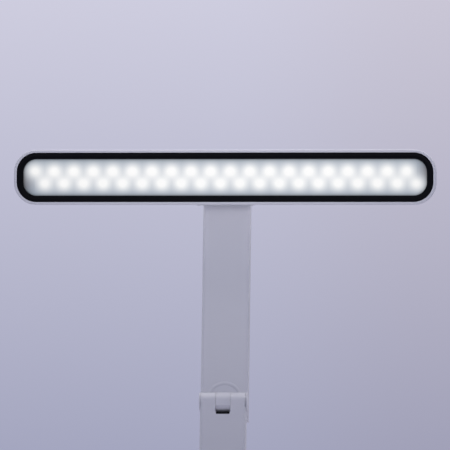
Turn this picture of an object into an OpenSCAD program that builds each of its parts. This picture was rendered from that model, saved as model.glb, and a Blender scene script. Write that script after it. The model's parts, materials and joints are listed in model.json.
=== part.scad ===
// Folding LED desk lamp: a heavy base, two flat arms and a slim light bar.
// The front, where the light faces, is -Y, and the origin is the middle of the footprint on the table.

/* [Light bar] */
// Length of the light bar
head_w = 300; // [260:1:340]
// Height of the light bar
head_h = 39; // [37:1:48]
// Depth of the light bar from back to front
head_t = 13; // [12:0.5:15]
// Corner radius of the light bar seen from the front
head_corner_r = 16; // [15:0.5:18]
// Rounding of the light bar's back edge
head_edge_r = 4; // [2:0.5:5]
// Width of the white rim round the dark frame
rim_w = 2; // [1.6:0.1:2.6]
// Width of the dark frame
bezel_w = 4.5; // [3.5:0.1:5.5]
// Number of light-emitting diodes in each of the two rows
led_columns = 20; // [12:1:20]
// Distance from one diode to the next along a row
led_pitch = 13.94; // [8:0.01:13.94]
// Height of each row above or below the middle of the bar
led_row_offset = 4.8; // [3:0.1:7]

/* [Arms] */
// How far the arms lean back while the lamp stands, in degrees
lean = 10.6; // [0:0.1:20]
// Width of the upper arm
upper_arm_w = 34; // [33:0.5:38]
// Width of the lower arm
lower_arm_w = 32.6; // [32:0.1:36]
// Thickness of the lower arm, which is also the diameter of its hinge barrel
lower_arm_t = 13; // [12:0.1:13.4]
// Thickness of the upper arm
upper_arm_t = 10; // [9:0.5:12]
// Distance between the base hinge and the middle hinge
lower_arm_len = 190; // [150:1:200]
// Distance between the middle hinge and the light bar's hinge
upper_arm_len = 148.3; // [130:0.1:160]
// Radius of the long edges of the arms
arm_edge_r = 2.5; // [1:0.1:3]
// Wall thickness of the arm shells
arm_wall = 2; // [1.6:0.1:2.4]

/* [Middle hinge] */
// Width of the knuckle in the middle of the barrel
mid_knuckle_w = 10.2; // [8:0.1:12]
// How far the slot in the front of the barrel reaches below the hinge axis
mid_slot_drop = 9.6; // [9.5:0.1:11]
// Radius of the round boss on the upper arm that carries the knuckle
boss_r = 13.3; // [10:0.1:14]
// How far the upper arm's tail hangs below the hinge axis
tail_drop = 12.8; // [12:0.1:20]

/* [Base] */
// Width of the base
base_w = 120; // [110:1:150]
// Depth of the base from front to back
base_d = 180; // [174:1:200]
// Height of the base above its feet
base_h = 18; // [18:0.5:20]
// Corner radius of the base seen from above
base_corner_r = 25; // [20:1:30]
// Rounding of the base's upper edge
base_edge_r = 5; // [2:0.5:6]
// Diameter of a control button
button_d = 12; // [10:0.5:14]
// Distance between the middles of neighbouring buttons
button_pitch = 22; // [18:1:26]
// How far a button travels when it is pressed
button_travel = 0.8; // [0.5:0.1:0.8]

/* [Hidden] */
$fn = 64;

// Play and overlap values shared by every fit
eps = 0.01;
fixed_play = 0.02;
turning_play = 0.06;
moving_gap = 0.3;
washer_t = 0.12;
washer_play = 0.03;
seat_play = 0.1;
screw_play = 0.2;
// How deep a joined piece reaches into its neighbour
root = 1;
cut = 1;
// Farther than any arm is wide or thick, for cuts that go right through one
beyond = 50;

// Hinge axes
lower_r = lower_arm_t / 2;
axis_y = -35;
foot_h = 1.5;
base_top_z = foot_h + base_h;
base_axis_z = base_top_z + lower_r + 1;
mid_axis_y = axis_y + lower_arm_len * sin(lean);
mid_axis_z = base_axis_z + lower_arm_len * cos(lean);

// Middle hinge, measured from its own axis
arm_gap = 0.8;
upper_front_y = lower_r + arm_gap;
upper_back_y = upper_front_y + upper_arm_t;
mid_pin_r = 2;
mid_slot_half = mid_knuckle_w / 2 + washer_t + 2 * washer_play;
mid_slot_back_wall = 1.9;
knuckle_root_low = -5.5;
knuckle_root_high = lower_r;
knuckle_room = 0.3;
knuckle_chin_r = lower_r + 0.8;
window_half = mid_knuckle_w / 2 - 0.15;
window_corner_r = 0.8;
guide_play = 0.05;
guide_setback = 1.4;
guide_top = -knuckle_chin_r - knuckle_room - 0.1;
boss_rise = 0.5;
boss_bead_w = 2.8;
boss_bead_r = (boss_bead_w ^ 2 / 4 + boss_rise ^ 2) / 2 / boss_rise;
boss_floor_rise = 0.1;
boss_centre_z = 2.4;
tail_end_r = 4;
root_block_half = 9;
root_block_depth = 6;
root_block_rise = 2;
right_seam_x = lower_arm_w / 2 - 0.55;
right_seam_w = 0.5;
left_seam_x = lower_arm_w / 2 - 0.45;
left_seam_w = 0.15;
cap_end_x = lower_arm_w / 2 + 0.8;
cap_edge_r = 0.4;
cap_neck_r = lower_r - 1.5;
mid_washer_r = lower_r - 1.5;
mid_pin_inset = 1;

// Insides of the arms, measured from the middle hinge's axis
cover_lip = 1.8;
lower_cavity_low = -lower_arm_len + 10;
lower_cavity_high = -mid_slot_drop - 2.6;
upper_cavity_low = -tail_drop + 4;
upper_cavity_high = upper_arm_len + 1;
cover_ledge = 1;
strip_w = 20;
strip_t = 1.3;
lower_strip_low = lower_cavity_low + cover_ledge;
lower_strip_high = lower_cavity_high - cover_ledge;
upper_strip_low = 14;
upper_strip_high = upper_arm_len - 8;
lower_flange_d = 4.5;
upper_flange_d = 3.5;
flange_wall = 1;
lead_w = 7;
lead_t = 1.2;
lead_y = arm_wall - lower_r + strip_t;
lead_room = 0.3;
lead_inset = 1;

// Light bar's hinge, measured from its own axis
head_r = 5.5;
head_pin_r = 1.8;
head_knuckle_half = 7.6;
ear_inner_x = head_knuckle_half + washer_t + 2 * washer_play;
head_axis_y = mid_axis_y + upper_arm_len * sin(lean);
head_axis_z = mid_axis_z + upper_arm_len * cos(lean);
ear_edge_r = 0.6;
head_ear_corner_r = head_r - 0.3;
head_back_gap = 6.2;
head_below_axis = 6.5;
head_back_y = head_axis_y - head_back_gap;
head_z = head_axis_z - head_below_axis + head_h / 2;
head_washer_r = head_r - 1;
head_cap_r = 4;
head_cap_t = 1.4;
head_cap_edge_r = 0.3;
upper_top_z = upper_arm_len + head_r;

// Layers of the light bar, measured forward from its back
head_floor = 1.8;
head_front_edge_r = 0.8;
flange_t = 1.6;
led_board_z = head_floor + flange_t;
led_board_t = 1.2;
led_w = 3.5;
led_h = 2.8;
led_t = 0.7;
bezel_t = 3.4;
bezel_bevel = 0.4;
bezel_drop = 0.1;
bezel_inner_drop = 0.5;
bezel_ridge = 0.2;
diffuser_t = 1.5;
bezel_z = head_t - bezel_t;
diffuser_z = bezel_z - diffuser_t;
ledge_w = 3;
diffuser_lap = 2;
bezel_outer_w = head_w - 2 * rim_w;
bezel_outer_h = head_h - 2 * rim_w;
bezel_outer_r = head_corner_r - rim_w;
window_w = bezel_outer_w - 2 * bezel_w;
window_h = bezel_outer_h - 2 * bezel_w;
window_r = bezel_outer_r - bezel_w;
flange_w = 40;
flange_h = 14;
neck_half = 3.5;
head_screw_x = 14;
bracket_centre_y = head_below_axis - head_h / 2;
cavity_w = window_w + 2 * diffuser_lap - 2 * ledge_w;
cavity_h = window_h + 2 * diffuser_lap - 2 * ledge_w;
cavity_r = window_r + diffuser_lap - ledge_w;
rib_pairs = 3;
rib_gap = (cavity_w - flange_w) / 2 / (rib_pairs + 0.5);
rib_t = 1.5;
led_board_play = 0.5;
led_board_w = cavity_w - 2 * led_board_play;
led_board_h = cavity_h - 2 * led_board_play;
led_board_r = cavity_r - led_board_play;

// Base, measured from the table
base_wall = 2.2;
base_inner_top = base_top_z - base_wall;
cover_t = 2.2;
cover_top = foot_h + cover_t;
post_x = base_w / 2 - 13;
post_y = base_d / 2 - 13;
post_r = 4;
foot_r = 6;
foot_x = base_w / 2 - 22;
foot_y = base_d / 2 - 13;
foot_seat = 0.6;
foot_edge_r = 0.5;
foot_dimple_r = 3;
foot_dimple_depth = 0.5;
weight_w = 84;
weight_t = 9;
weight_front = -17;
weight_back = 66;
weight_hole_r = 3;
bracket_w = 60;
bracket_d = 28;
bracket_low = base_top_z - 8.5;
bracket_t = 2.5;
bracket_post_x = 26;
bracket_post_y = 9;
bracket_post_r = 3;
ear_r = 7.5;
ear_t = 5;
ear_corner_r = ear_r - 0.5;
ear_slot_play = 0.2;
ear_x = lower_arm_w / 2 + washer_t + 2 * washer_play;
base_pin_r = 2.5;
pin_head_r = 5;
pin_head_t = 1.6;
pin_edge_r = 0.5;
pin_reach = 0.5;
base_washer_r = lower_r - 0.5;

// Controls
button_y = -66;
button_top = base_top_z + 0.8;
button_edge_r = 0.5;
dish_r = 24;
dish_depth = 0.5;
button_flange = 1;
flange_top = base_inner_top - 0.2;
button_flange_t = 1.4;
stem_r = 1.5;
stem_low = base_top_z - 4.5;
switch_top = stem_low - button_travel - 0.1;
switch_w = 6;
switch_h = 2.4;
plunger_r = 1.7;
board_t = 1.6;
board_top = base_top_z - 8.4;
board_w = 80;
board_d = 26;
board_post_x = 35;
board_post_y = board_d / 2 - 4;
board_post_r = 2.6;
inlet_z = 8.5;
inlet_w = 8.94;
inlet_h = 3.26;
inlet_len = 7.35;
inlet_setback = 0.25;
inlet_play = 0.2;
inlet_wall = 0.3;
inlet_back = 1;
tongue_w = 6.7;
tongue_t = 0.7;
tongue_start = 0.9;
inlet_board_t = 1.2;
inlet_board_w = 18;
inlet_board_d = 12.5;
inlet_board_back = base_d / 2 - 3.5;
inlet_post_x = 6;
inlet_post_r = 2;
inlet_post_y = base_d / 2 - 12;

// Screws: shank radius, length, head radius and head height
cover_screw = [1.4, 9, 2.6, 1.1];
bracket_screw = [1.2, 6.5, 2.3, 1.2];
board_screw = [0.9, board_t + 4.5, 1.9, 1];
head_screw = [0.9, led_board_z - 1.1, 2, 0.9];
screw_socket_share = 0.6;
screw_edge_r = 0.4;
cover_screw_seat = foot_h + 1.2;
head_screw_seat = 1;
pilot_room = 0.8;

// What remains of a square when a quarter disc is taken from its corner
module corner_waste(r) difference() {
    square(r + cut);
    circle(r = r);
}

// Half of a rounded edge, used to build a slab whose upper and lower edges are rounded
module edge_profile(reach, h, r_low, r_high) difference() {
    square([reach, h]);
    if (r_high > 0) translate([reach - r_high, h - r_high]) corner_waste(r_high);
    if (r_low > 0) translate([reach - r_low, r_low]) mirror([0, 1]) corner_waste(r_low);
}

// Rectangle with round corners
module round_rect(w, h, r) {
    square([w - 2 * r, h], center = true);
    square([w, h - 2 * r], center = true);
    for (x = [-1, 1], y = [-1, 1]) translate([x * (w / 2 - r), y * (h / 2 - r)]) circle(r = r);
}

// Runs a profile along the four sides and round the four corners of a rectangle.
// The profile's own x is measured outward from the corner centres.
module run_around(w, d, c) for (turn = [0:3]) rotate([0, 0, 90 * turn]) {
    along = turn % 2 == 0 ? w : d;
    across = turn % 2 == 0 ? d : w;
    translate([-(along / 2 - c), across / 2 - c, 0])
        rotate([90, 0, 90]) linear_extrude(along - 2 * c) children();
    translate([along / 2 - c, across / 2 - c, 0]) rotate_extrude(angle = 90) children();
}

// Slab with round corners and with rounded lower and upper edges
module soft_slab(w, d, h, c, r_low, r_high) {
    translate([-(w / 2 - c), -(d / 2 - c), 0]) cube([w - 2 * c, d - 2 * c, h]);
    run_around(w, d, c) edge_profile(c, h, r_low, r_high);
}

// Pocket with round corners, from z0 upward
module pocket(w, d, c, z0, z1) translate([0, 0, z0]) linear_extrude(z1 - z0) round_rect(w, d, c);

// Disc with a rounded lower and upper edge
module soft_disc(r, h, r_low, r_high) rotate_extrude() edge_profile(r, h, r_low, r_high);

// Rod along X
module x_rod(x0, x1, r) translate([x0, 0, 0]) rotate([0, 90, 0]) cylinder(h = x1 - x0, r = r);

// Rod along X with rounded ends
module x_soft_rod(x0, x1, r, edge_low, edge_high) translate([x0, 0, 0]) rotate([0, 90, 0])
    soft_disc(r, x1 - x0, edge_low, edge_high);

// Ring along X
module x_ring(x0, x1, r_out, r_in) difference() {
    x_rod(x0, x1, r_out);
    x_rod(x0 - cut, x1 + cut, r_in);
}

// Block that is symmetric in X
module x_block(half_w, y0, y1, z0, z1) translate([-half_w, y0, z0]) cube([2 * half_w, y1 - y0, z1 - z0]);

// Side view drawn in Y and Z, extruded along X
module side_prism(x0, x1) translate([x0, 0, 0]) rotate([90, 0, 90]) linear_extrude(x1 - x0) children();

// Plate that lies in Y and Z, with soft edges, from x0 to x1
module side_plate(x0, x1, y0, y1, z0, z1, c, edge) translate([x0, (y0 + y1) / 2, (z0 + z1) / 2])
    rotate([90, 0, 90]) soft_slab(y1 - y0, z1 - z0, x1 - x0, c, edge, edge);

module both_sides() for (side = [0, 1]) mirror([side, 0, 0]) children();

module at_base_axis() translate([0, axis_y, base_axis_z]) children();

// Draws an arm as if it stood upright on the middle hinge's axis, and leans it back
module at_mid_axis() translate([0, mid_axis_y, mid_axis_z]) rotate([-lean, 0, 0]) children();

module at_head_axis() translate([0, head_axis_y, head_axis_z]) children();

// Draws with Z pointing forward from the light bar's back
module in_head() translate([0, head_back_y, head_z]) rotate([90, 0, 0]) children();

// Pan-head screw that points up, with its head's underside at z = 0
module pan_screw(kind) {
    translate([0, 0, -eps]) cylinder(h = kind[1] + eps, r = kind[0]);
    translate([0, 0, -kind[3]]) difference() {
        soft_disc(kind[2], kind[3], screw_edge_r, 0);
        translate([0, 0, -cut]) cylinder(h = cut + kind[3] / 2, r = kind[0] * screw_socket_share, $fn = 6);
    }
}

// Blind hole that a screw with its seat at z0 cuts its thread in
module pilot_hole(kind, z0) translate([0, 0, z0])
    cylinder(h = kind[1] + pilot_room, r = kind[0] + fixed_play);

// Places children at the four corners of a rectangle
module four(x, y) for (sx = [-1, 1], sy = [-1, 1]) translate([sx * x, sy * y, 0]) children();

// Base

module base_top_shell() color("gainsboro") difference() {
    union() {
        difference() {
            translate([0, 0, foot_h]) soft_slab(base_w, base_d, base_h, base_corner_r, 0, base_edge_r);
            pocket(base_w - 2 * base_wall, base_d - 2 * base_wall, base_corner_r - base_wall,
                   0, base_inner_top);
        }
        four(post_x, post_y) translate([0, 0, cover_top])
            cylinder(h = base_inner_top - cover_top + eps, r = post_r);
        translate([0, axis_y, 0]) four(bracket_post_x, bracket_post_y)
            translate([0, 0, bracket_low + bracket_t])
                cylinder(h = base_inner_top - bracket_low - bracket_t + eps, r = bracket_post_r);
        translate([0, button_y, 0]) four(board_post_x, board_post_y)
            translate([0, 0, board_top]) cylinder(h = base_inner_top - board_top + eps, r = board_post_r);
    }
    four(post_x, post_y) pilot_hole(cover_screw, cover_screw_seat);
    translate([0, axis_y, 0]) four(bracket_post_x, bracket_post_y) pilot_hole(bracket_screw, bracket_low);
    translate([0, button_y, 0]) four(board_post_x, board_post_y)
        pilot_hole(board_screw, board_top - board_t);
    both_sides() translate([ear_x - ear_slot_play, axis_y - ear_r - ear_slot_play, base_inner_top - cut])
        cube([ear_t + 2 * ear_slot_play, 2 * (ear_r + ear_slot_play), base_wall + 2 * cut]);
    for (i = [-1:1]) translate([i * button_pitch, button_y, base_inner_top - cut])
        cylinder(h = base_wall + 2 * cut, r = button_d / 2 + moving_gap);
    translate([0, base_d / 2 + cut, inlet_z]) rotate([90, 0, 0])
        linear_extrude(base_wall + 2 * cut)
            round_rect(inlet_w + 2 * inlet_play, inlet_h + 2 * inlet_play, inlet_h / 2 + seat_play);
}

module base_bottom_cover() color("gainsboro") difference() {
    union() {
        pocket(base_w - 2 * (base_wall + seat_play), base_d - 2 * (base_wall + seat_play),
               base_corner_r - base_wall - seat_play, foot_h, cover_top);
        for (x = [-1, 1]) translate([x * inlet_post_x, inlet_post_y, cover_top - eps])
            cylinder(h = inlet_z - inlet_h / 2 - inlet_board_t - cover_top + eps, r = inlet_post_r);
    }
    four(foot_x, foot_y) cylinder(h = foot_h + foot_seat, r = foot_r + fixed_play);
    four(post_x, post_y) {
        cylinder(h = cover_screw_seat, r = cover_screw[2] + seat_play);
        cylinder(h = cover_top + cut, r = cover_screw[0] + screw_play);
    }
}

module rubber_feet() color("dimgray") four(foot_x, foot_y) difference() {
    soft_disc(foot_r, foot_h + foot_seat, foot_edge_r, 0);
    translate([0, 0, -cut]) cylinder(h = cut + foot_dimple_depth, r = foot_dimple_r);
}

module base_screws() color("silver") four(post_x, post_y)
    translate([0, 0, cover_screw_seat]) pan_screw(cover_screw);

module counterweight() color("slategray") difference() {
    translate([-weight_w / 2, weight_front, cover_top])
        cube([weight_w, weight_back - weight_front, weight_t]);
    for (x = [-1, 1]) translate([x * weight_w / 3, (weight_front + weight_back) / 2, 0])
        cylinder(h = base_top_z, r = weight_hole_r);
}

module control_board() color("darkgreen") difference() {
    translate([-board_w / 2, button_y - board_d / 2, board_top - board_t])
        cube([board_w, board_d, board_t]);
    translate([0, button_y, 0]) four(board_post_x, board_post_y)
        cylinder(h = base_top_z, r = board_screw[0] + screw_play);
}

module board_screws() color("silver") translate([0, button_y, board_top - board_t])
    four(board_post_x, board_post_y) pan_screw(board_screw);

module tact_switches() color("black") for (i = [-1:1]) translate([i * button_pitch, button_y, board_top]) {
    translate([-switch_w / 2, -switch_w / 2, 0]) cube([switch_w, switch_w, switch_h]);
    cylinder(h = switch_top - board_top, r = plunger_r);
}

module inlet_board() color("darkgreen")
    translate([-inlet_board_w / 2, inlet_board_back - inlet_board_d, inlet_z - inlet_h / 2 - inlet_board_t])
        cube([inlet_board_w, inlet_board_d, inlet_board_t]);

module usb_inlet() color("silver") translate([0, base_d / 2 - inlet_setback, inlet_z]) rotate([90, 0, 0]) {
    difference() {
        linear_extrude(inlet_len) round_rect(inlet_w, inlet_h, inlet_h / 2 - eps);
        translate([0, 0, -cut]) linear_extrude(inlet_len - inlet_back + cut)
            round_rect(inlet_w - 2 * inlet_wall, inlet_h - 2 * inlet_wall, inlet_h / 2 - inlet_wall - eps);
    }
    translate([-tongue_w / 2, -tongue_t / 2, tongue_start])
        cube([tongue_w, tongue_t, inlet_len - inlet_back / 2 - tongue_start]);
}

// Push button with a dished top, a flange that keeps it in the shell and a stem over its switch
module push_button(place) translate([place * button_pitch, button_y, 0]) {
    difference() {
        translate([0, 0, flange_top - button_flange_t])
            soft_disc(button_d / 2, button_top - flange_top + button_flange_t, 0, button_edge_r);
        translate([0, 0, button_top + dish_r - dish_depth]) sphere(r = dish_r);
    }
    translate([0, 0, flange_top - button_flange_t])
        cylinder(h = button_flange_t, r = button_d / 2 + button_flange);
    translate([0, 0, stem_low]) cylinder(h = base_top_z - stem_low, r = stem_r);
}

module power_button() color("whitesmoke") push_button(0);

module brightness_button() color("whitesmoke") push_button(-1);

module colour_button() color("whitesmoke") push_button(1);

// Base hinge

module base_hinge_bracket() color("lightgray") difference() {
    translate([0, axis_y, 0]) {
        x_block(bracket_w / 2, -bracket_d / 2, bracket_d / 2, bracket_low, bracket_low + bracket_t);
        intersection() {
            both_sides() side_plate(ear_x, ear_x + ear_t, -ear_r, ear_r,
                                    bracket_low - ear_r, base_axis_z + ear_r, ear_corner_r, ear_edge_r);
            x_block(bracket_w / 2, -bracket_d / 2, bracket_d / 2, bracket_low, base_axis_z + ear_r + cut);
        }
    }
    at_base_axis() x_rod(-beyond, beyond, base_pin_r + fixed_play);
    translate([0, axis_y, 0]) four(bracket_post_x, bracket_post_y)
        cylinder(h = base_top_z, r = bracket_screw[0] + screw_play);
}

module bracket_screws() color("silver") translate([0, axis_y, bracket_low])
    four(bracket_post_x, bracket_post_y) pan_screw(bracket_screw);

module base_hinge_pin() color("silver") at_base_axis() {
    x_rod(-(ear_x + ear_t) - eps, ear_x + ear_t + pin_reach, base_pin_r);
    x_soft_rod(-(ear_x + ear_t + pin_head_t), -(ear_x + ear_t), pin_head_r, pin_edge_r, 0);
}

module base_hinge_nut() color("silver") at_base_axis() difference() {
    x_soft_rod(ear_x + ear_t, ear_x + ear_t + pin_head_t, pin_head_r, 0, pin_edge_r);
    x_rod(ear_x + ear_t - cut, ear_x + ear_t + pin_reach + seat_play, base_pin_r + fixed_play);
}

module base_hinge_washers() color("black") at_base_axis() both_sides()
    x_ring(ear_x - washer_t - washer_play, ear_x - washer_play, base_washer_r, base_pin_r + fixed_play);

// Lower arm

// Side view of the lower arm: full-round ends on both hinge axes
module lower_arm_side() {
    circle(r = lower_r);
    translate([0, -lower_arm_len]) circle(r = lower_r);
    translate([-lower_r, -lower_arm_len]) square([lower_arm_t, lower_arm_len]);
}

// Room for an end cap beyond the end of the barrel
module cap_recess(seam_x) {
    x_rod(seam_x, beyond, lower_r + moving_gap);
    translate([seam_x, -beyond, 0]) cube([beyond, 2 * beyond, beyond]);
}

// Window in front, below the knuckle
module slot_window() translate([0, lower_r - mid_slot_back_wall, -mid_slot_drop / 2]) rotate([90, 0, 0])
    linear_extrude(beyond) round_rect(2 * window_half, mid_slot_drop, window_corner_r);

// Way for the flat lead between the arm's inside and the slot
module lead_passage(z0, z1)
    x_block(lead_w / 2 + lead_room, lead_y - lead_room, lead_y + lead_t + lead_room, z0, z1);

module lower_arm_shell() color("gainsboro") at_mid_axis() difference() {
    union() {
        intersection() {
            translate([0, 0, -lower_arm_len - lower_r]) linear_extrude(lower_arm_len + lower_arm_t)
                round_rect(lower_arm_w, lower_arm_t, arm_edge_r);
            side_prism(-lower_arm_w / 2, lower_arm_w / 2) lower_arm_side();
        }
        x_rod(-lower_arm_w / 2, lower_arm_w / 2, lower_r);
    }
    cap_recess(right_seam_x);
    mirror([1, 0, 0]) cap_recess(left_seam_x);
    slot_window();
    x_block(mid_slot_half, -beyond, lower_r - mid_slot_back_wall, -knuckle_chin_r - knuckle_room, beyond);
    x_block(mid_slot_half, -beyond, beyond, knuckle_root_low - knuckle_room, beyond);
    lead_passage(lower_cavity_high - 2 * cover_ledge, -mid_slot_drop + eps);
    x_rod(-beyond, beyond, mid_pin_r + fixed_play);
    translate([0, 0, -lower_arm_len]) x_rod(-beyond, beyond, base_pin_r + turning_play);
    x_block(lower_arm_w / 2 - arm_wall - cover_ledge, arm_wall - lower_r, beyond,
            lower_cavity_low + cover_ledge, lower_cavity_high - cover_ledge);
    x_block(lower_arm_w / 2 - arm_wall, lower_r - cover_lip, beyond, lower_cavity_low, lower_cavity_high);
}

module lower_arm_cover() color("gainsboro") at_mid_axis()
    x_block(lower_arm_w / 2 - arm_wall - seat_play, lower_r - cover_lip, lower_r,
            lower_cavity_low + seat_play, lower_cavity_high - seat_play);

// Steel channel that lies against the inside of an arm's front wall
module stiffener(front_y, flange_depth, z0, z1) {
    x_block(strip_w / 2, front_y, front_y + strip_t, z0, z1);
    both_sides() translate([strip_w / 2 - flange_wall, front_y, z0])
        cube([flange_wall, flange_depth, z1 - z0]);
}

module lower_arm_stiffener() color("silver") at_mid_axis()
    stiffener(arm_wall - lower_r, lower_flange_d, lower_strip_low, lower_strip_high);

module lower_arm_lead() color("white") at_mid_axis()
    x_block(lead_w / 2, lead_y, lead_y + lead_t, lower_strip_low + lead_inset, lower_strip_high - lead_inset);

// Middle hinge

module mid_hinge_pin() color("silver") at_mid_axis() 
    x_rod(-left_seam_x + mid_pin_inset, right_seam_x - mid_pin_inset, mid_pin_r);

// Thick cap on the right end of the barrel and thin cap on its left end
module mid_hinge_caps() color("gainsboro") at_mid_axis() {
    x_rod(right_seam_x, right_seam_x + right_seam_w + eps, cap_neck_r);
    x_soft_rod(right_seam_x + right_seam_w, cap_end_x, lower_r, 0, cap_edge_r);
    x_rod(-left_seam_x - left_seam_w - eps, -left_seam_x, cap_neck_r);
    x_soft_rod(-cap_end_x, -left_seam_x - left_seam_w, lower_r, cap_edge_r, 0);
}

module mid_hinge_washers() color("black") at_mid_axis() both_sides()
    x_ring(mid_slot_half - washer_t - washer_play, mid_slot_half - washer_play,
           mid_washer_r, mid_pin_r + fixed_play);

// Dark block in the slot, seen below the knuckle, that leads the flat lead into the lower arm
module mid_lead_guide() color("black") at_mid_axis() difference() {
    guide_h = guide_top + mid_slot_drop - guide_play;
    translate([0, lower_r - mid_slot_back_wall - guide_play, guide_top - guide_h / 2]) rotate([90, 0, 0])
        linear_extrude(lower_arm_t - mid_slot_back_wall - guide_play - guide_setback)
            round_rect(2 * (window_half - guide_play), guide_h, window_corner_r);
    lead_passage(-beyond, beyond);
}

// Upper arm

// Side view of the upper arm: a flat bar with rounded ends
module upper_arm_side() translate([(upper_front_y + upper_back_y) / 2, (upper_top_z - tail_drop) / 2])
    round_rect(upper_arm_t, upper_top_z + tail_drop, tail_end_r);

module upper_arm_blank() intersection() {
    translate([0, (upper_front_y + upper_back_y) / 2, -tail_drop]) linear_extrude(upper_top_z + tail_drop)
        round_rect(upper_arm_w, upper_arm_t, arm_edge_r);
    side_prism(-upper_arm_w / 2, upper_arm_w / 2) upper_arm_side();
}

// Knuckle that sits in the lower arm's slot, with a fuller chin in front, on a round boss with a bead
module mid_knuckle() {
    side_prism(-mid_knuckle_w / 2, mid_knuckle_w / 2) {
        circle(r = lower_r);
        translate([0, knuckle_root_low]) square([upper_front_y + root, knuckle_root_high - knuckle_root_low]);
        intersection() {
            circle(r = knuckle_chin_r);
            translate([-lower_r, -knuckle_chin_r]) square([lower_r, knuckle_chin_r]);
        }
    }
    translate([0, upper_front_y + root, boss_centre_z]) rotate([90, 0, 0]) {
        cylinder(h = root + boss_floor_rise, r = boss_r - boss_bead_w / 2);
        rotate_extrude() intersection() {
            translate([boss_r - boss_bead_w / 2, root + boss_rise - boss_bead_r]) circle(r = boss_bead_r);
            square([boss_r + cut, root + boss_rise + cut]);
        }
    }
}

// Ears that reach forward from the upper arm to the light bar's hinge
module head_ears() translate([0, 0, upper_arm_len]) both_sides() intersection() {
    side_plate(ear_inner_x, upper_arm_w / 2, -head_r, upper_back_y, -head_r, head_r,
               head_ear_corner_r, ear_edge_r);
    x_block(upper_arm_w, -beyond, upper_front_y + root, -head_r - cut, head_r + cut);
}

module upper_arm_shell() color("gainsboro") at_mid_axis() difference() {
    union() {
        difference() {
            upper_arm_blank();
            x_block(upper_arm_w / 2 - arm_wall - cover_ledge, upper_front_y + arm_wall, beyond,
                    upper_cavity_low + cover_ledge, upper_cavity_high - cover_ledge);
            x_block(upper_arm_w / 2 - arm_wall, upper_back_y - cover_lip, beyond,
                    upper_cavity_low, upper_cavity_high);
        }
        x_block(root_block_half, upper_front_y + root, upper_front_y + root_block_depth,
                knuckle_root_low - root_block_rise, knuckle_root_high + root_block_rise);
        mid_knuckle();
        head_ears();
    }
    x_rod(-beyond, beyond, mid_pin_r + turning_play);
    translate([0, 0, upper_arm_len]) {
        x_rod(-beyond, beyond, head_pin_r + fixed_play);
        both_sides() x_rod(upper_arm_w / 2 - head_cap_t, beyond, head_cap_r + fixed_play);
    }
}

module upper_arm_cover() color("gainsboro") at_mid_axis()
    x_block(upper_arm_w / 2 - arm_wall - seat_play, upper_back_y - cover_lip, upper_back_y,
            upper_cavity_low + seat_play, upper_cavity_high - seat_play);

module upper_arm_stiffener() color("silver") at_mid_axis()
    stiffener(upper_front_y + arm_wall, upper_flange_d, upper_strip_low, upper_strip_high);

module upper_arm_lead() color("white") at_mid_axis()
    x_block(lead_w / 2, upper_front_y + arm_wall + strip_t, upper_front_y + arm_wall + strip_t + lead_t,
            upper_strip_low + lead_inset, upper_strip_high - lead_inset);

// Light bar's hinge

module head_hinge_pin() color("silver") at_head_axis()
    x_rod(-upper_arm_w / 2 + head_cap_t, upper_arm_w / 2 - head_cap_t, head_pin_r);

module head_hinge_caps() color("gainsboro") at_head_axis() both_sides()
    x_soft_rod(upper_arm_w / 2 - head_cap_t, upper_arm_w / 2, head_cap_r, 0, head_cap_edge_r);

module head_hinge_washers() color("black") at_head_axis() both_sides()
    x_ring(ear_inner_x - washer_t - washer_play, ear_inner_x - washer_play,
           head_washer_r, head_pin_r + fixed_play);

// Bracket whose knuckle turns between the ears and whose flange lies inside the light bar
module head_bracket() color("lightgray") difference() {
    union() {
        at_head_axis() side_prism(-head_knuckle_half, head_knuckle_half) {
            circle(r = head_r);
            translate([-head_back_gap - head_floor - eps, -neck_half])
                square([head_back_gap + head_floor + eps, 2 * neck_half]);
        }
        in_head() translate([-flange_w / 2, bracket_centre_y - flange_h / 2, head_floor])
            cube([flange_w, flange_h, flange_t]);
    }
    at_head_axis() x_rod(-beyond, beyond, head_pin_r + turning_play);
    in_head() for (x = [-1, 1]) translate([x * head_screw_x, bracket_centre_y, 0])
        cylinder(h = head_t, r = head_screw[0] + fixed_play);
}

// Light bar

module head_housing() color("gainsboro") in_head() difference() {
    soft_slab(head_w, head_h, head_t, head_corner_r - seat_play, head_edge_r, head_front_edge_r);
    difference() {
        pocket(cavity_w, cavity_h, cavity_r, head_floor, head_t);
        for (side = [-1, 1], i = [1:rib_pairs])
            translate([side * (flange_w / 2 + i * rib_gap) - rib_t / 2, -cavity_h / 2 - cut, 0])
                cube([rib_t, cavity_h + 2 * cut, led_board_z]);
    }
    pocket(window_w + 2 * diffuser_lap + seat_play, window_h + 2 * diffuser_lap + seat_play,
           window_r + diffuser_lap, diffuser_z, head_t + cut);
    pocket(bezel_outer_w + seat_play, bezel_outer_h + seat_play, bezel_outer_r, bezel_z, head_t + cut);
    translate([-flange_w / 2 - seat_play, bracket_centre_y - flange_h / 2 - seat_play, head_floor])
        cube([flange_w + 2 * seat_play, flange_h + 2 * seat_play, flange_t]);
    translate([-head_knuckle_half - seat_play, bracket_centre_y - neck_half - seat_play, -cut])
        cube([2 * (head_knuckle_half + seat_play), 2 * (neck_half + seat_play), head_floor + 2 * cut]);
    for (x = [-1, 1]) translate([x * head_screw_x, bracket_centre_y, 0]) {
        translate([0, 0, -cut]) cylinder(h = cut + head_screw_seat, r = head_screw[2] + seat_play);
        cylinder(h = head_floor + cut, r = head_screw[0] + screw_play);
    }
}

module head_screws() color("silver") in_head() for (x = [-1, 1])
    translate([x * head_screw_x, bracket_centre_y, head_screw_seat]) pan_screw(head_screw);

module led_board() color("whitesmoke") in_head()
    pocket(led_board_w, led_board_h, led_board_r, led_board_z, led_board_z + led_board_t);

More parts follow.
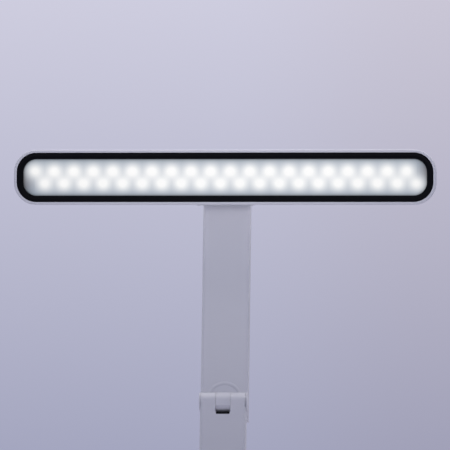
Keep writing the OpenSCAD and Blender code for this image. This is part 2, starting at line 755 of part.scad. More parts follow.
// The two rows are shifted by a quarter of the pitch to either side, so that the diodes stagger
module leds() color("lightyellow") in_head() for (row = [-1, 1], i = [0:led_columns - 1]) {
    along = (i - (led_columns - 1) / 2 - row / 4) * led_pitch;
    translate([along - led_w / 2, row * led_row_offset - led_h / 2, led_board_z + led_board_t])
        cube([led_w, led_h, led_t]);
}

module diffuser() color("white") in_head()
    pocket(window_w + 2 * diffuser_lap, window_h + 2 * diffuser_lap, window_r + diffuser_lap,
           diffuser_z, bezel_z);

// Cross-section of the dark frame: two slopes that meet in a low ridge
module bezel_profile() polygon([
    [bezel_outer_r - bezel_w, 0],
    [bezel_outer_r, 0],
    [bezel_outer_r, bezel_t - bezel_bevel],
    [bezel_outer_r - bezel_bevel, bezel_t - bezel_drop],
    [bezel_outer_r - bezel_w / 2, bezel_t + bezel_ridge],
    [bezel_outer_r - bezel_w, bezel_t - bezel_inner_drop]
]);

module bezel_frame() color("black") in_head() translate([0, 0, bezel_z])
    run_around(bezel_outer_w, bezel_outer_h, bezel_outer_r) bezel_profile();

base_top_shell();
base_bottom_cover();
rubber_feet();
base_screws();
counterweight();
control_board();
board_screws();
tact_switches();
inlet_board();
usb_inlet();
power_button();
brightness_button();
colour_button();
base_hinge_bracket();
bracket_screws();
base_hinge_pin();
base_hinge_nut();
base_hinge_washers();
lower_arm_shell();
lower_arm_cover();
lower_arm_stiffener();
lower_arm_lead();
mid_hinge_pin();
mid_hinge_caps();
mid_hinge_washers();
mid_lead_guide();
upper_arm_shell();
upper_arm_cover();
upper_arm_stiffener();
upper_arm_lead();
head_hinge_pin();
head_hinge_caps();
head_hinge_washers();
head_bracket();
head_housing();
head_screws();
led_board();
leds();
diffuser();
bezel_frame();
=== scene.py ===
import json
import math

import bmesh
import bpy
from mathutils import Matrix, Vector


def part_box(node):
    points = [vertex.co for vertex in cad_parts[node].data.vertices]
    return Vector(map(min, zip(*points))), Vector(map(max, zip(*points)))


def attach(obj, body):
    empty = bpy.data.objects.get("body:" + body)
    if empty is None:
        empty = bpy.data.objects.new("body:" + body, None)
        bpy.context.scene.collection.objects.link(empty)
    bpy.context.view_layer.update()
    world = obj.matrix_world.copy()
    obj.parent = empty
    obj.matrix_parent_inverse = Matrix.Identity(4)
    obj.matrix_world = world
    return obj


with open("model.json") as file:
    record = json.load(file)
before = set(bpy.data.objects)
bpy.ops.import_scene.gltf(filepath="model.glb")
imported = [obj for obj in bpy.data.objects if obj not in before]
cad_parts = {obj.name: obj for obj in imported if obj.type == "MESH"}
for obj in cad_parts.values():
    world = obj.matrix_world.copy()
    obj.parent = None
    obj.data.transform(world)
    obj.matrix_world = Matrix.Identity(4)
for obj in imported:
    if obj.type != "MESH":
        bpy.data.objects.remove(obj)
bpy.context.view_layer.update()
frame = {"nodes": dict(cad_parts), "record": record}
nodes = frame["nodes"]

MM = 0.001

# Where the lamp's main forms stand, read from the frame
bar_low, bar_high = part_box("head_housing")
bar_centre = (bar_low + bar_high) / 2
window_low, window_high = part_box("diffuser")

# The photograph's framing, in pixels of its own square
IMAGE_SIZE = 450
BAR_CENTRE_X = 224.4
BAR_CENTRE_Y = 177.3
BAR_WIDTH = 422.3

# The camera stands a little to the right. Its sensor is in millimetres, all else in metres
CAMERA_DISTANCE = 3.6
CAMERA_YAW = math.radians(4.2)
SENSOR = 36.0
NEAREST_SEEN = 0.01
FURTHEST_SEEN = 50


def srgb(red, green, blue):
    """A linear colour from the red, green and blue that a screen shows, 0 to 255, by the sRGB curve."""
    def linear(value):
        share = value / 255
        return share / 12.92 if share <= 0.04045 else ((share + 0.055) / 1.055) ** 2.4
    return (linear(red), linear(green), linear(blue), 1.0)


# Colours of the lamp's pieces, as a screen shows them
SHELL_WHITE = srgb(217, 217, 224)
FRAME_BLACK = srgb(12, 13, 17)
# Black plastic. In the middle hinge's slot this near-black is also painted shade
BLACK_PLASTIC_AND_SLOT_SHADE = srgb(13, 15, 19)
MILKY_SHEET = srgb(132, 134, 142)
GREEN_MASK = srgb(40, 96, 62)
WHITE_MASK = srgb(225, 225, 222)
DIODE_YELLOW = srgb(240, 226, 150)
PLATED_STEEL = srgb(190, 190, 194)
CAST_WEIGHT = srgb(96, 96, 100)
ENAMEL_WHITE = srgb(210, 210, 216)
RUBBER_GREY = srgb(58, 58, 62)
SHEATH_WHITE = srgb(215, 215, 212)
PRINT_GREY = srgb(120, 122, 132)

FULL_WHITE = (1.0, 1.0, 1.0, 1.0)
FULL_BLACK = (0.0, 0.0, 0.0, 1.0)


# Camera and lights

def make_camera():
    """A long lens a little to the right, with the light bar as high and as wide as in the photograph."""
    metres_per_pixel = (bar_high.x - bar_low.x) * math.cos(CAMERA_YAW) / BAR_WIDTH
    half = IMAGE_SIZE / 2
    aside = (half - BAR_CENTRE_X) * metres_per_pixel
    data = bpy.data.cameras.new("photo_camera")
    data.sensor_width = SENSOR
    data.lens = SENSOR * CAMERA_DISTANCE / (metres_per_pixel * IMAGE_SIZE)
    data.clip_start = NEAREST_SEEN
    data.clip_end = FURTHEST_SEEN
    camera = bpy.data.objects.new("photo_camera", data)
    bpy.context.scene.collection.objects.link(camera)
    camera.location = (
        bar_centre.x + CAMERA_DISTANCE * math.sin(CAMERA_YAW) + aside * math.cos(CAMERA_YAW),
        bar_low.y - CAMERA_DISTANCE * math.cos(CAMERA_YAW) + aside * math.sin(CAMERA_YAW),
        bar_centre.z - (half - BAR_CENTRE_Y) * metres_per_pixel,
    )
    camera.rotation_euler = (math.radians(90), 0, CAMERA_YAW)
    bpy.context.scene.camera = camera


def area_light(name, place, aim, size, watts, colour, spread=180):
    """A square soft light at place that faces aim and opens by spread degrees."""
    data = bpy.data.lights.new(name, "AREA")
    data.size = size
    data.energy = watts
    data.color = colour
    data.spread = math.radians(spread)
    light = bpy.data.objects.new(name, data)
    bpy.context.scene.collection.objects.link(light)
    light.location = place
    light.rotation_euler = (Vector(aim) - Vector(place)).to_track_quat("-Z", "Y").to_euler()


def make_lights():
    """A wide light overhead, a rim light from the rear right and two narrow ones in front of the bar."""
    area_light("ceiling_light", place=(0.0, 0.25, 1.9), aim=(0.0, 0.0, 0.2), size=1.4, watts=22.0,
               colour=(1.0, 0.97, 0.97))
    area_light("side_rim", place=(1.3, 0.9, 0.9), aim=(0.0, 0.0, 0.25), size=0.6, watts=1.2,
               colour=(1.0, 0.95, 0.95))
    area_light("bar_light_high", place=(0.0, -1.5, 0.68), aim=(0.0, 0.0, 0.46), size=0.5, watts=0.088,
               colour=(1.0, 0.97, 1.0), spread=14)
    area_light("bar_light_level", place=(0.0, -1.5, 0.44), aim=(0.0, 0.0, 0.45), size=0.3, watts=0.045,
               colour=(1.0, 1.0, 1.0), spread=13)


# Node trees

# A Mix node keeps its colour sockets behind those for values and vectors
MIX_FIRST = 6
MIX_SECOND = 7
MIX_RESULT = 2


class Graph:
    """Short ways to add and join nodes in one node tree."""

    def __init__(self, tree):
        self.tree = tree

    def add(self, kind, **settings):
        """A new node of one kind, with its settings."""
        node = self.tree.nodes.new(kind)
        for name, value in settings.items():
            setattr(node, name, value)
        return node

    def put(self, socket, value):
        """Joins value to socket if it is another node's output, and otherwise sets it."""
        if isinstance(value, bpy.types.NodeSocket):
            self.tree.links.new(value, socket)
        else:
            socket.default_value = value

    def maths(self, operation, *values, clamp=False):
        """One step of arithmetic on values."""
        node = self.add("ShaderNodeMath", operation=operation, use_clamp=clamp)
        for socket, value in zip(node.inputs, values):
            self.put(socket, value)
        return node.outputs[0]

    def ramp(self, value, low, high, out_low=0.0, out_high=1.0):
        """A smooth step from out_low at low to out_high at high."""
        node = self.add("ShaderNodeMapRange", interpolation_type="SMOOTHSTEP")
        self.put(node.inputs["Value"], value)
        self.put(node.inputs["From Min"], low)
        self.put(node.inputs["From Max"], high)
        self.put(node.inputs["To Min"], out_low)
        self.put(node.inputs["To Max"], out_high)
        return node.outputs["Result"]

    def mix(self, share, first, second, blend="MIX"):
        """The first colour where share is 0, and the second, or the blend of both, where it is 1."""
        node = self.add("ShaderNodeMix", data_type="RGBA", blend_type=blend)
        self.put(node.inputs["Factor"], share)
        self.put(node.inputs[MIX_FIRST], first)
        self.put(node.inputs[MIX_SECOND], second)
        return node.outputs[MIX_RESULT]

    def product(self, first, second):
        """Two colours multiplied."""
        return self.mix(1.0, first, second, "MULTIPLY")

    def sum(self, first, second):
        """Two colours added."""
        return self.mix(1.0, first, second, "ADD")

    def grey(self, value):
        """A value as a grey colour."""
        node = self.add("ShaderNodeCombineColor")
        for channel in node.inputs[:3]:
            self.put(channel, value)
        return node.outputs[0]

    def coords(self):
        """A point's place in the piece's own space, which is the frame's."""
        return self.add("ShaderNodeTexCoord").outputs["Object"]

    def split(self, vector):
        """The three parts of a vector."""
        node = self.add("ShaderNodeSeparateXYZ")
        self.put(node.inputs[0], vector)
        return node.outputs

    def noise(self, scale, detail=2.0, where=None):
        """Cloudy noise with scale clouds to the metre."""
        node = self.add("ShaderNodeTexNoise")
        self.put(node.inputs["Vector"], self.coords() if where is None else where)
        self.put(node.inputs["Scale"], scale)
        node.inputs["Detail"].default_value = detail
        return node.outputs["Fac"]


# Effects that several finishes share, as node groups

FLOAT = "NodeSocketFloat"
COLOUR = "NodeSocketColor"

# Larger cells under the fine grain of a mould, as shares of the grain's own scale and height
CELL_SCALE = 0.6
CELL_DEPTH = 0.5

# How many of its widths a fine line is long
LINE_LENGTH = 20

# Copper tracks under a solder mask, and the clouds of gloss on it
TRACK_GAP = 0.03
TRACK_LIGHTER = 1.35
MASK_CLOUD_SCALE = 300.0
MASK_CLOUD_RANGE = (0.2, 0.8)
MASK_ROUGHNESS_RANGE = (0.3, 0.45)


def new_group(name, inputs, outputs):
    """A shader node group with named inputs and outputs, and its graph."""
    tree = bpy.data.node_groups.new(name, "ShaderNodeTree")
    for label, kind, default in inputs:
        socket = tree.interface.new_socket(name=label, in_out="INPUT", socket_type=kind)
        socket.default_value = default
    for label, kind in outputs:
        tree.interface.new_socket(name=label, in_out="OUTPUT", socket_type=kind)
    graph = Graph(tree)
    return tree, graph, graph.add("NodeGroupInput").outputs, graph.add("NodeGroupOutput").inputs


def make_moulded_grain():
    """The fine matt texture of an injection mould, as a height."""
    tree, graph, given, result = new_group(
        "moulded_grain", [("Grain Size", FLOAT, 0.3 * MM)], [("Height", FLOAT)])
    scale = graph.maths("DIVIDE", 1.0, given["Grain Size"])
    cells = graph.add("ShaderNodeTexVoronoi")
    graph.put(cells.inputs["Vector"], graph.coords())
    graph.put(cells.inputs["Scale"], graph.maths("MULTIPLY", scale, CELL_SCALE))
    cell_height = graph.maths("MULTIPLY", cells.outputs["Distance"], CELL_DEPTH)
    graph.put(result["Height"], graph.maths("ADD", graph.noise(scale, detail=3.0), cell_height))
    return tree


def make_soft_mottle():
    """Slow, faint changes of shade and of roughness, as handling and flow lines leave them."""
    tree, graph, given, result = new_group(
        "soft_mottle",
        [("Colour", COLOUR, FULL_WHITE), ("Shade", FLOAT, 0.03), ("Patch Size", FLOAT, 40 * MM),
         ("Roughness", FLOAT, 0.5), ("Spread", FLOAT, 0.06)],
        [("Colour", COLOUR), ("Roughness", FLOAT)])
    cloud = graph.noise(graph.maths("DIVIDE", 1.0, given["Patch Size"]), detail=4.0)
    swing = graph.maths("SUBTRACT", cloud, 0.5)
    shade = graph.maths("MULTIPLY", swing, graph.maths("MULTIPLY", given["Shade"], 2.0))
    spread = graph.maths("MULTIPLY", swing, graph.maths("MULTIPLY", given["Spread"], 2.0))
    grey = graph.grey(graph.maths("ADD", 1.0, shade))
    graph.put(result["Colour"], graph.product(given["Colour"], grey))
    graph.put(result["Roughness"], graph.maths("ADD", given["Roughness"], spread))
    return tree


def make_fine_lines():
    """Fine parallel lines across one axis, as brushing or turning leaves them, as a height."""
    tree, graph, given, result = new_group(
        "fine_lines", [("Line Width", FLOAT, 0.2 * MM), ("Stretch", FLOAT, 30.0)], [("Height", FLOAT)])
    x, y, z = graph.split(graph.coords())
    across = graph.add("ShaderNodeCombineXYZ")
    graph.put(across.inputs["X"], graph.maths("MULTIPLY", x, given["Stretch"]))
    graph.put(across.inputs["Y"], y)
    graph.put(across.inputs["Z"], z)
    scale = graph.maths("DIVIDE", 1 / LINE_LENGTH, given["Line Width"])
    graph.put(result["Height"], graph.noise(scale, where=across.outputs[0]))
    return tree


def make_copper_tracks():
    """Solder mask over faint copper tracks: its colour, its sheen and the height of the tracks."""
    tree, graph, given, result = new_group(
        "copper_tracks",
        [("Colour", COLOUR, FULL_WHITE), ("Over Copper", COLOUR, FULL_WHITE), ("Track Scale", FLOAT, 400.0)],
        [("Colour", COLOUR), ("Roughness", FLOAT), ("Height", FLOAT)])
    tracks = graph.add("ShaderNodeTexBrick")
    graph.put(tracks.inputs["Vector"], graph.coords())
    graph.put(tracks.inputs["Scale"], given["Track Scale"])
    tracks.inputs["Mortar Size"].default_value = TRACK_GAP
    graph.put(result["Colour"], graph.mix(tracks.outputs["Fac"], given["Colour"], given["Over Copper"]))
    cloud = graph.noise(MASK_CLOUD_SCALE)
    graph.put(result["Roughness"], graph.ramp(cloud, *MASK_CLOUD_RANGE, *MASK_ROUGHNESS_RANGE))
    graph.put(result["Height"], tracks.outputs["Fac"])
    return tree


moulded_grain = make_moulded_grain()
soft_mottle = make_soft_mottle()
fine_lines = make_fine_lines()
copper_tracks = make_copper_tracks()


def use_group(graph, group, **values):
    """Places a node group and gives its inputs their values; underscores stand for blanks."""
    node = graph.add("ShaderNodeGroup", node_tree=group)
    for label, value in values.items():
        graph.put(node.inputs[label.replace("_", " ")], value)
    return node.outputs


# Finishes

def new_finish(name):
    """An empty material, its graph and its shader."""
    material = bpy.data.materials.new(name)
    material.use_nodes = True
    return material, Graph(material.node_tree), material.node_tree.nodes["Principled BSDF"]


def add_bump(graph, shader, height, strength, distance):
    """Lets a height field tilt the surface's normals."""
    bump = graph.add("ShaderNodeBump")
    bump.inputs["Strength"].default_value = strength
    bump.inputs["Distance"].default_value = distance
    graph.put(bump.inputs["Height"], height)
    graph.put(shader.inputs["Normal"], bump.outputs["Normal"])


def moulded_finish(name, colour, roughness, grain=0.3 * MM, bump=0.12, shade=0.02, specular=0.5):
    """Injection-moulded plastic, rubber or enamel: mottled colour, uneven sheen and fine grain."""
    material, graph, shader = new_finish(name)
    mottle = use_group(graph, soft_mottle, Colour=colour, Shade=shade, Roughness=roughness, Spread=0.05)
    graph.put(shader.inputs["Base Color"], mottle["Colour"])
    graph.put(shader.inputs["Roughness"], mottle["Roughness"])
    shader.inputs["Specular IOR Level"].default_value = specular
    height = use_group(graph, moulded_grain, Grain_Size=grain)["Height"]
    add_bump(graph, shader, height, strength=bump, distance=grain)
    return material


def metal_finish(name, colour, roughness, line_width=0.2 * MM, bump=0.15):
    """Metal with fine lines left by its making."""
    material, graph, shader = new_finish(name)
    shader.inputs["Metallic"].default_value = 1.0
    mottle = use_group(graph, soft_mottle, Colour=colour, Shade=0.06, Patch_Size=6 * MM,
                       Roughness=roughness, Spread=0.1)
    graph.put(shader.inputs["Base Color"], mottle["Colour"])
    graph.put(shader.inputs["Roughness"], mottle["Roughness"])
    height = use_group(graph, fine_lines, Line_Width=line_width)["Height"]
    add_bump(graph, shader, height, strength=bump, distance=line_width)
    return material


def circuit_board_finish(name, colour):
    """Solder mask, a little lighter over its copper tracks."""
    material, graph, shader = new_finish(name)
    lighter = tuple(min(1.0, channel * TRACK_LIGHTER) for channel in colour[:3]) + (1.0,)
    mask = use_group(graph, copper_tracks, Colour=colour, Over_Copper=lighter)
    graph.put(shader.inputs["Base Color"], mask["Colour"])
    graph.put(shader.inputs["Roughness"], mask["Roughness"])
    add_bump(graph, shader, mask["Height"], strength=0.2, distance=0.05 * MM)
    return material


# The two rows of diodes behind the sheet. Each stands ROW_HEIGHT above or below the bar's middle, and
# the two are shifted against each other by half a pitch
DIODES_IN_ROW = 20
PITCH = 13.94 * MM
ROW_HEIGHT = 4.8 * MM
ROW_SHIFT = 0.4 * MM

# How their light spreads in the sheet: an even haze along each row, a soft spot at each diode, a
# lower row that is a little weaker, and a sheet that is darkest past the rows' ends
HAZE_RADIUS = 5.2 * MM
SPOT_RADIUS = 3.45 * MM
HAZE_SHARE = 0.40
SPOT_SHARE = 0.55
LOWER_ROW = 0.96
END_DARK = 1.1
SHEET_GLOW = (0.124, 0.178, 0.225, 1.0)
LAMP_GLOW = (0.835, 0.825, 0.775, 1.0)

# A hyperbolic tangent of this slope stands in for the error function
ERROR_SLOPE = 1.2

# The lit window's corner radius, how far its frame laps over it, and how the frame shades its edge
WINDOW_CORNER = 9.5 * MM
WINDOW_LAP = 2.0 * MM
EDGE_SHADE = 0.72
EDGE_REACH = 0.95 * MM


def gaussian(graph, square, radius):
    """exp(-square / (2 radius^2))"""
    return graph.maths("EXPONENT", graph.maths("MULTIPLY", square, -0.5 / radius ** 2))


def row_end(graph, offset, end):
    """How a row's haze passes one end: -1 well before it, 1 well past it."""
    slope = ERROR_SLOPE / (math.sqrt(2) * HAZE_RADIUS)
    return graph.maths("TANH", graph.maths("MULTIPLY", graph.maths("SUBTRACT", offset, end), slope))


def diode_row(graph, along, up, side, level):
    """The light of one row, and the dark past its ends; side is 1 for the upper row, -1 for the lower."""
    half_run = PITCH * DIODES_IN_ROW / 2
    offset = graph.maths("SUBTRACT", along, bar_centre.x + ROW_SHIFT - side * PITCH / 4)
    rise = graph.maths("SUBTRACT", up, bar_centre.z + side * ROW_HEIGHT)
    rise_square = graph.maths("MULTIPLY", rise, rise)
    near_row = gaussian(graph, rise_square, HAZE_RADIUS)
    # 2 along the row, 0 past its ends
    run = graph.maths("SUBTRACT", row_end(graph, offset, -half_run), row_end(graph, offset, half_run))
    haze = graph.maths("MULTIPLY", near_row, run)
    past_ends = graph.maths("POWER", graph.maths("MULTIPLY_ADD", run, -0.5, 1.0), 2.0)
    dark = graph.maths("MULTIPLY", near_row, past_ends)
    nearest = graph.maths("SUBTRACT", graph.maths("WRAP", offset, PITCH, 0.0), PITCH / 2)
    square = graph.maths("ADD", graph.maths("MULTIPLY", nearest, nearest), rise_square)
    within = graph.maths("LESS_THAN", graph.maths("ABSOLUTE", offset), half_run)
    spot = graph.maths("MULTIPLY", gaussian(graph, square, SPOT_RADIUS), within)
    light = graph.maths("ADD", graph.maths("MULTIPLY", haze, HAZE_SHARE / 2 * level),
                        graph.maths("MULTIPLY", spot, SPOT_SHARE * level))
    return light, dark


def edge_distance(graph, along, up):
    """How far a point lies inside the window's round-cornered outline."""
    half_width = (window_high.x - window_low.x) / 2 - WINDOW_LAP
    half_height = (window_high.z - window_low.z) / 2 - WINDOW_LAP
    squares = []
    for place, middle, half in ((along, bar_centre.x, half_width), (up, bar_centre.z, half_height)):
        reach = graph.maths("ABSOLUTE", graph.maths("SUBTRACT", place, middle))
        past = graph.maths("MAXIMUM", graph.maths("SUBTRACT", reach, half - WINDOW_CORNER), 0.0)
        squares.append(graph.maths("MULTIPLY", past, past))
    corner = graph.maths("SQRT", graph.maths("ADD", *squares))
    return graph.maths("MAXIMUM", graph.maths("SUBTRACT", WINDOW_CORNER, corner), 0.0)


def lit_diffuser_finish(name):
    """Milky sheet in front of two staggered rows of diodes, which show as soft spots in an even haze."""
    material, graph, shader = new_finish(name)
    along, _, up = graph.split(graph.coords())
    upper_light, upper_dark = diode_row(graph, along, up, side=1, level=1.0)
    lower_light, lower_dark = diode_row(graph, along, up, side=-1, level=LOWER_ROW)
    light = graph.maths("MINIMUM", graph.maths("ADD", upper_light, lower_light), 1.0)
    dark = graph.maths("MULTIPLY", graph.maths("ADD", upper_dark, lower_dark), END_DARK, clamp=True)
    glow = graph.mix(light, graph.mix(dark, SHEET_GLOW, FULL_BLACK), LAMP_GLOW)
    fade = graph.maths("EXPONENT", graph.maths("MULTIPLY", edge_distance(graph, along, up), -1 / EDGE_REACH))
    shade = graph.grey(graph.maths("SUBTRACT", 1.0, graph.maths("MULTIPLY", fade, EDGE_SHADE)))
    graph.put(shader.inputs["Emission Color"], graph.product(glow, shade))
    shader.inputs["Emission Strength"].default_value = 1.0
    mottle = use_group(graph, soft_mottle, Colour=MILKY_SHEET, Shade=0.02, Roughness=0.35, Spread=0.05)
    graph.put(shader.inputs["Base Color"], graph.product(mottle["Colour"], shade))
    graph.put(shader.inputs["Roughness"], mottle["Roughness"])
    shader.inputs["Specular IOR Level"].default_value = 0.3
    height = use_group(graph, moulded_grain, Grain_Size=0.4 * MM)["Height"]
    add_bump(graph, shader, height, strength=0.05, distance=0.2 * MM)
    return material


finishes = {
    "white_shell": moulded_finish("white_shell_plastic", SHELL_WHITE, roughness=0.48),
    "black_frame": moulded_finish("black_frame_plastic", FRAME_BLACK, roughness=0.5, grain=0.25 * MM,
                                  bump=0.1, shade=0.15, specular=0.05),
    "diffuser_sheet": lit_diffuser_finish("lit_diffuser_sheet"),
    "circuit_board": circuit_board_finish("green_solder_mask", GREEN_MASK),
    "white_board": circuit_board_finish("white_solder_mask", WHITE_MASK),
    "diode": moulded_finish("diode_package", DIODE_YELLOW, roughness=0.25),
    "steel": metal_finish("plated_steel", PLATED_STEEL, roughness=0.3),
    "weight_steel": metal_finish("rough_cast_weight", CAST_WEIGHT, roughness=0.6, line_width=0.6 * MM,
                                 bump=0.4),
    "bracket_metal": moulded_finish("white_enamelled_steel", ENAMEL_WHITE, roughness=0.32,
                                    grain=0.6 * MM, bump=0.05),
    # This finish also dresses the guide deep in the middle hinge's slot, whose near-black there is painted
    # shade as well as black plastic
    "black_plastic": moulded_finish("black_plastic_and_slot_shade", BLACK_PLASTIC_AND_SLOT_SHADE, roughness=0.6, specular=0.15),
    "rubber": moulded_finish("soft_rubber", RUBBER_GREY, roughness=0.75, grain=0.5 * MM, bump=0.3),
    "lead_sheath": moulded_finish("lead_sheath_plastic", SHEATH_WHITE, roughness=0.45),
}

grey_print = moulded_finish("grey_pad_print", PRINT_GREY, roughness=0.6, grain=0.2 * MM, bump=0.05,
                            shade=0.05)


def finish_nodes():
    """Gives every node of the frame its finish."""
    slots = {part["node"]: part["material_slot"] for part in frame["record"]["subparts"]}
    for name, piece in nodes.items():
        material = finishes[slots[name]]
        if not piece.data.materials:
            piece.data.materials.append(material)
        for index in range(len(piece.material_slots)):
            piece.material_slots[index].material = material


# Signs printed on the three buttons. Each stands a little proud of its face and reaches a little into it

SIGN_RADIUS = 2.1 * MM
SIGN_LINE = 0.42 * MM
PRINT_RISE = 0.05 * MM
PRINT_SINK = 0.1 * MM
CLEAR_ABOVE = 10 * MM
RING_STEPS = 40

# The power sign's ring is open at the side away from the viewer, where its bar stands. In degrees
AWAY = 90
POWER_GAP = 70
POWER_BAR_START = 0.5 * SIGN_RADIUS
POWER_BAR_END = 1.25 * SIGN_RADIUS

# The brightness sign's small ring and its rays
SUN_RADIUS = 0.42 * SIGN_RADIUS
SUN_STEPS = 24
RAYS = 8
RAY_START = 0.78 * SIGN_RADIUS
RAY_END = 1.15 * SIGN_RADIUS

# Where the colour sign's hatching crosses its left radius, as shares of it
HATCH_SHARES = (0.0, 0.36, 0.70)


class ButtonPrint:
    """A thin print on one button, which follows its dished face."""

    def __init__(self, button):
        self.button = nodes[button]
        low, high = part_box(button)
        self.middle = (low + high) / 2
        self.above = high.z + CLEAR_ABOVE
        self.work = bmesh.new()

    def pair(self, aside, away):
        """The top and bottom point of the print at a distance aside and away from the button's middle."""
        x = self.middle.x + aside
        y = self.middle.y + away
        face = self.button.ray_cast((x, y, self.above), (0, 0, -1))[1]
        top = self.work.verts.new((x, y, face.z + PRINT_RISE))
        bottom = self.work.verts.new((x, y, face.z - PRINT_SINK))
        return top, bottom

    def stroke(self, points, closed=False):
        """A line of even width through the points, as a thin closed solid."""
        count = len(points)
        rungs = []
        for index, (x, y) in enumerate(points):
            before = points[index - 1] if closed or index > 0 else points[index]
            after = points[(index + 1) % count] if closed or index < count - 1 else points[index]
            way = (Vector(after) - Vector(before)).normalized() * SIGN_LINE / 2
            rungs.append(self.pair(x - way.y, y + way.x) + self.pair(x + way.y, y - way.x))
        following = rungs[1:] + rungs[:1] if closed else rungs[1:]
        for here, there in zip(rungs, following):
            left, left_low, right, right_low = here
            next_left, next_left_low, next_right, next_right_low = there
            self.work.faces.new((left, right, next_right, next_left))
            self.work.faces.new((left_low, next_left_low, next_right_low, right_low))
            self.work.faces.new((left, next_left, next_left_low, left_low))
            self.work.faces.new((right, right_low, next_right_low, next_right))
        if not closed:
            for left, left_low, right, right_low in (rungs[0], rungs[-1]):
                self.work.faces.new((left, left_low, right_low, right))

    def finish(self, name, body):
        """Makes the print a piece that rides on its button."""
        bmesh.ops.recalc_face_normals(self.work, faces=self.work.faces)
        mesh = bpy.data.meshes.new(name)
        self.work.to_mesh(mesh)
        self.work.free()
        mesh.materials.append(grey_print)
        piece = bpy.data.objects.new(name, mesh)
        bpy.context.scene.collection.objects.link(piece)
        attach(piece, body)


def arc(radius, start, end, steps):
    """Points on a circle about the button's middle, from start to end degrees."""
    angles = [math.radians(start + (end - start) * step / steps) for step in range(steps + 1)]
    return [(radius * math.cos(angle), radius * math.sin(angle)) for angle in angles]


def circle(radius, steps):
    """Points right round the button's middle."""
    return arc(radius, 0, 360, steps)[:-1]


def print_power_sign():
    """An open ring with a short bar in its gap."""
    sign = ButtonPrint("power_button")
    start = AWAY + POWER_GAP / 2
    sign.stroke(arc(SIGN_RADIUS, start, start + 360 - POWER_GAP, RING_STEPS))
    sign.stroke([(0, POWER_BAR_START), (0, POWER_BAR_END)])
    sign.finish("power_sign", "power_button")


def print_brightness_sign():
    """A small ring with rays round it."""
    sign = ButtonPrint("brightness_button")
    sign.stroke(circle(SUN_RADIUS, SUN_STEPS), closed=True)
    for ray in range(RAYS):
        turn = 2 * math.pi * ray / RAYS
        sign.stroke([(reach * math.cos(turn), reach * math.sin(turn)) for reach in (RAY_START, RAY_END)])
    sign.finish("brightness_sign", "brightness_button")


def print_colour_sign():
    """A ring whose left half is hatched: warm light on one side, cool on the other."""
    sign = ButtonPrint("colour_button")
    sign.stroke(circle(SIGN_RADIUS, RING_STEPS), closed=True)
    for share in HATCH_SHARES:
        half = math.sqrt(1 - share ** 2) * SIGN_RADIUS - SIGN_LINE / 2
        sign.stroke([(-share * SIGN_RADIUS, -half), (-share * SIGN_RADIUS, half)])
    sign.finish("colour_sign", "colour_button")


# Floor and surroundings

FLOOR_RADIUS = 1.4
FLOOR_FADE = 0.7
FLOOR_SIDES = 96
FLOOR_DARKER = srgb(196, 196, 208)
FLOOR_LIGHTER = srgb(204, 203, 215)
FLOOR_CLOUD_SCALE = 2.0
FLOOR_ROUGHNESS = 0.8

# The wall as the camera sees it: its two colours, how far above and below level each is reached, and
# the directions between which it turns warmer to the right
WALL_TOP = srgb(206, 205, 223)
WALL_BOTTOM = srgb(164, 166, 191)
WALL_SLOPE = 0.045
WARM_SIDE = (0.955, 0.93, 0.915, 1.0)
WARM_RISE = (-0.075, -0.03)

# The soft light that the lamp gets from the front, from behind and from both sides, and the
# directions between which each changes
FRONT_LIGHT = (0.266, 0.285, 0.38, 1.0)
FRONT_FALL = (-0.9, 0.6)
REAR_LIGHT = (0.58, 0.58, 0.63, 1.0)
REAR_RISE = (-0.3, 0.9)
SIDE_LIGHT = (0.2, 0.2, 0.225, 1.0)
SIDE_RISE = (0.75, 1.0)


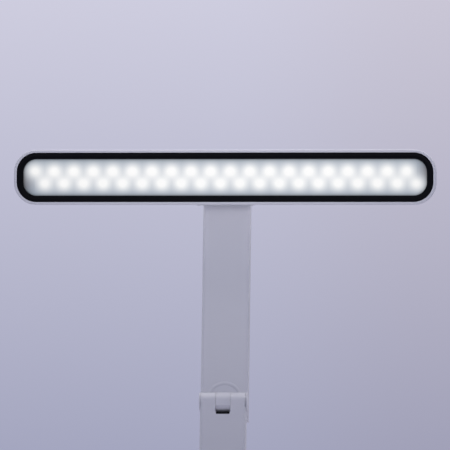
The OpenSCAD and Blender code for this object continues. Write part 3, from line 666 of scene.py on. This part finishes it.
def floor_finish(name):
    """Pale matt floor that turns clear towards its edge."""
    material, graph, shader = new_finish(name)
    x, y, _ = graph.split(graph.coords())
    distance = graph.maths("SQRT", graph.maths("ADD", graph.maths("MULTIPLY", x, x),
                                               graph.maths("MULTIPLY", y, y)))
    cloud = graph.noise(FLOOR_CLOUD_SCALE)
    graph.put(shader.inputs["Base Color"], graph.mix(cloud, FLOOR_DARKER, FLOOR_LIGHTER))
    shader.inputs["Roughness"].default_value = FLOOR_ROUGHNESS
    graph.put(shader.inputs["Alpha"], graph.ramp(distance, FLOOR_FADE, FLOOR_RADIUS, 1.0, 0.0))
    return material


def make_floor():
    """A pale round floor that fades into the surroundings at its edge."""
    mesh = bpy.data.meshes.new("floor")
    work = bmesh.new()
    bmesh.ops.create_circle(work, cap_ends=True, segments=FLOOR_SIDES, radius=FLOOR_RADIUS)
    work.to_mesh(mesh)
    work.free()
    mesh.materials.append(floor_finish("pale_floor"))
    floor = bpy.data.objects.new("floor", mesh)
    bpy.context.scene.collection.objects.link(floor)


def make_surroundings():
    """A wall-coloured background that darkens downward, and soft light from all round the lamp."""
    world = bpy.data.worlds.new("room")
    bpy.context.scene.world = world
    world.use_nodes = True
    graph = Graph(world.node_tree)
    shader = world.node_tree.nodes["Background"]
    across, forward, up = graph.split(graph.add("ShaderNodeTexCoord").outputs["Generated"])
    height = graph.maths("MULTIPLY_ADD", up, 0.5 / WALL_SLOPE, 0.5, clamp=True)
    warmth = graph.mix(graph.ramp(across, *WARM_RISE), FULL_WHITE, WARM_SIDE)
    wall = graph.product(graph.mix(height, WALL_BOTTOM, WALL_TOP), warmth)
    front = graph.mix(graph.ramp(forward, *FRONT_FALL), FRONT_LIGHT, FULL_BLACK)
    behind = graph.mix(graph.ramp(forward, *REAR_RISE), FULL_BLACK, REAR_LIGHT)
    beside = graph.mix(graph.ramp(graph.maths("ABSOLUTE", across), *SIDE_RISE), FULL_BLACK, SIDE_LIGHT)
    light = graph.sum(graph.sum(front, behind), beside)
    path = graph.add("ShaderNodeLightPath").outputs
    seen = graph.maths("MAXIMUM", path["Is Camera Ray"],
                       graph.maths("MAXIMUM", path["Is Glossy Ray"], path["Is Transmission Ray"]))
    graph.put(shader.inputs["Color"], graph.mix(seen, light, wall))
    shader.inputs["Strength"].default_value = 1.0


make_camera()
finish_nodes()
print_power_sign()
print_brightness_sign()
print_colour_sign()
make_floor()
make_surroundings()
make_lights()

scene = bpy.context.scene
scene.view_settings.view_transform = "Standard"
